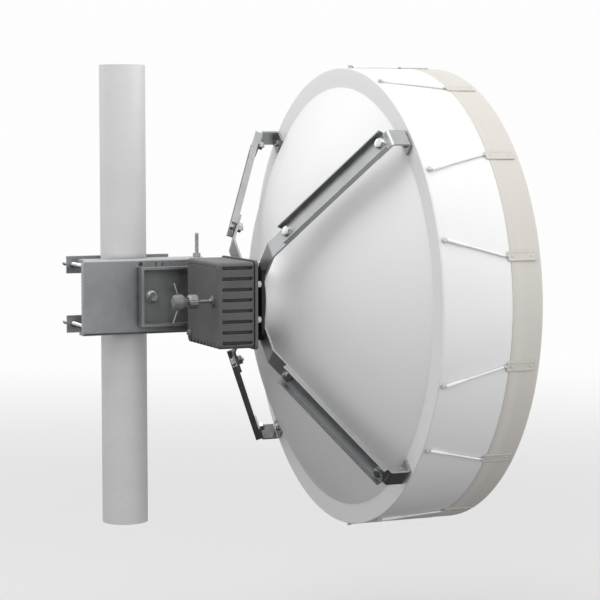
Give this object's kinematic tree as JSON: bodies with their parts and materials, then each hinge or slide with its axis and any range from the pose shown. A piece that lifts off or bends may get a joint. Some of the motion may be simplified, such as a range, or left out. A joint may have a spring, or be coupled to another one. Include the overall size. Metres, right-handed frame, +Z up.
{
  "type": "outdoor wireless bridge",
  "caption": "Shrouded microwave dish with a stretched fabric radome, a ribbed radio on its back and a tilting clamp bracket on a length of steel mast.",
  "frame": {"origin": "centre of the mast's lower end, so the mast's axis is the Z axis", "axes": "+Z up along the mast; the dish faces -Y; the clamp and the tilt bracket stand on the mast's -X side"},
  "size_m": [0.8754, 0.6686, 0.893],
  "materials": {
    "galvanised_tube": "mottled galvanised zinc",
    "galvanised_sheet": "dull galvanised",
    "strut_steel": "dull galvanised",
    "zinc_fastener": "bright zinc plated",
    "dish_white": "white powder coat",
    "cast_white": "white powder coat",
    "hub_black": "black powder coat",
    "radome_fabric": "matt coated fabric",
    "tab_plastic": "matt",
    "cord": "braided",
    "absorber": "open foam",
    "feed_metal": "bare",
    "feed_plastic": "white",
    "radio_cast": "dark grey powder coat",
    "gasket": "soft",
    "board": "solder mask",
    "connector_metal": "nickel plated",
    "connector_plastic": "grey",
    "spacer_white": "white"
  },
  "bodies": {
    "mast": {"mast": "galvanised_tube"},
    "clamp_head": {"pole_bracket": "galvanised_sheet", "upper_strap": "galvanised_sheet", "lower_strap": "galvanised_sheet", "clamp_studs": "zinc_fastener", "clamp_washers": "zinc_fastener", "clamp_nuts": "zinc_fastener", "pivot_bolt": "zinc_fastener", "pivot_washers": "zinc_fastener", "pivot_nut": "zinc_fastener", "adjuster_nuts": "zinc_fastener"},
    "adjuster": {"adjuster_rod": "zinc_fastener"},
    "coupling": {"coupling_nut": "connector_metal"},
    "dish_head": {"tilt_bracket": "galvanised_sheet", "adjuster_pin": "zinc_fastener", "bracket_bolts": "zinc_fastener", "strut_bolts": "zinc_fastener", "strut_nuts": "zinc_fastener", "arm_screws": "zinc_fastener", "rim_bolts": "zinc_fastener", "flange_screws": "zinc_fastener", "board_screws": "zinc_fastener", "hub_boss": "cast_white", "hub_plate": "hub_black", "waveguide_adapter": "hub_black", "reflector": "dish_white", "shroud": "dish_white", "absorber_lining": "absorber", "radome": "radome_fabric", "radome_tabs": "tab_plastic", "tension_cords": "cord", "cord_hooks": "tab_plastic", "cord_anchors": "tab_plastic", "feed_tube": "feed_metal", "feed_collar": "feed_metal", "feed_cone": "feed_plastic", "subreflector": "feed_metal", "radio_spacers": "spacer_white", "radio_flange": "radio_cast", "radio_gasket": "gasket", "radio_housing": "radio_cast", "circuit_board": "board", "rf_module": "feed_metal", "heat_spreader": "feed_metal", "connector_stem": "connector_metal", "connector_body": "connector_plastic", "retaining_wires": "connector_metal", "vent_plug": "connector_plastic", "hub_arm_1": "strut_steel", "strut_1": "strut_steel", "rim_bracket_1": "strut_steel", "hub_arm_2": "strut_steel", "strut_2": "strut_steel", "rim_bracket_2": "strut_steel", "hub_arm_3": "strut_steel", "strut_3": "strut_steel", "rim_bracket_3": "strut_steel", "hub_arm_4": "strut_steel", "strut_4": "strut_steel", "rim_bracket_4": "strut_steel"}
  },
  "joints": [
    {"name": "azimuth", "type": "hinge", "parent": "mast", "child": "clamp_head", "pos_m": [0, 0, 0.448], "axis": [0, 0, 1], "continuous": true},
    {"name": "elevation", "type": "hinge", "parent": "clamp_head", "child": "dish_head", "pos_m": [-0.068, -0.033, 0.448], "axis": [-1, 0, 0], "range_deg": [-10, 10]},
    {"name": "adjuster_travel", "type": "slide", "parent": "clamp_head", "child": "adjuster", "axis": [0, 0, 1], "range_m": [-0.0175, 0.0175]},
    {"name": "coupling_spin", "type": "hinge", "parent": "dish_head", "child": "coupling", "pos_m": [-0.268, -0.045, 0.452], "axis": [0, 1, 0], "continuous": true}
  ],
  "couplings": [
    {"joint": "adjuster_travel", "follows": "elevation", "m_per_rad": 0.099}
  ]
}
